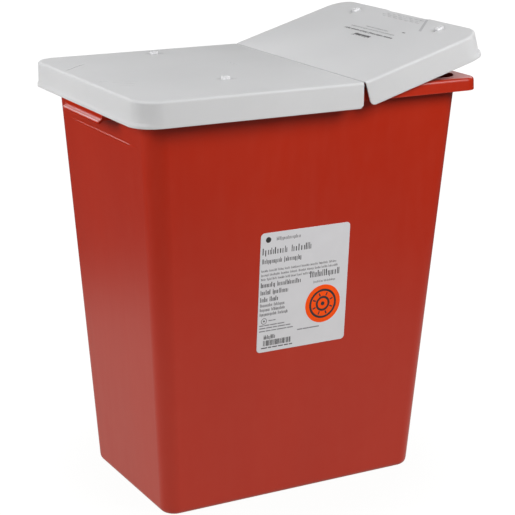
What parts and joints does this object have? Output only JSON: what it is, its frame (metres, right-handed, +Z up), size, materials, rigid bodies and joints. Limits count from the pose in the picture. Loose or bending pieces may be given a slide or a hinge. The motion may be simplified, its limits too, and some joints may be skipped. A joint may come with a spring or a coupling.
{
  "type": "sharps container",
  "caption": "Tall tapered red bin with a turned-down rim, hand grips and a press-fit lid whose end third is a flap on a living hinge, shown slightly open.",
  "frame": {"origin": "centre of the flat base", "axes": "+X along the long side towards the flap, -Y towards the labelled front, +Z up"},
  "size_m": [0.4711, 0.324, 0.5746],
  "materials": {
    "tub_plastic": "fine matte moulded polypropylene",
    "lid_plastic": "fine matte moulded polypropylene",
    "label_paper": "coated adhesive label"
  },
  "bodies": {
    "container": {"container_tub": "tub_plastic", "rim_flange": "tub_plastic", "left_hand_grip": "tub_plastic", "right_hand_grip": "tub_plastic", "lid_fixed_panel": "lid_plastic", "lid_end_lip": "lid_plastic", "lid_snap_beads": "lid_plastic", "lid_stop_ribs": "lid_plastic", "fixed_lid_studs": "lid_plastic", "living_hinge": "lid_plastic", "front_label": "label_paper"},
    "flap": {"lid_flap": "lid_plastic", "flap_lift_lip": "lid_plastic", "flap_catch_beads": "lid_plastic", "flap_stop_ribs": "lid_plastic", "flap_studs": "lid_plastic"}
  },
  "joints": [
    {"name": "flap_hinge", "type": "hinge", "parent": "container", "child": "flap", "pos_m": [0.0572, 0, 0.526], "axis": [0, -1, 0], "range_deg": [-16.4, 162], "stiffness_Nm_per_rad": 0.3, "springref_deg": 34.18}
  ]
}
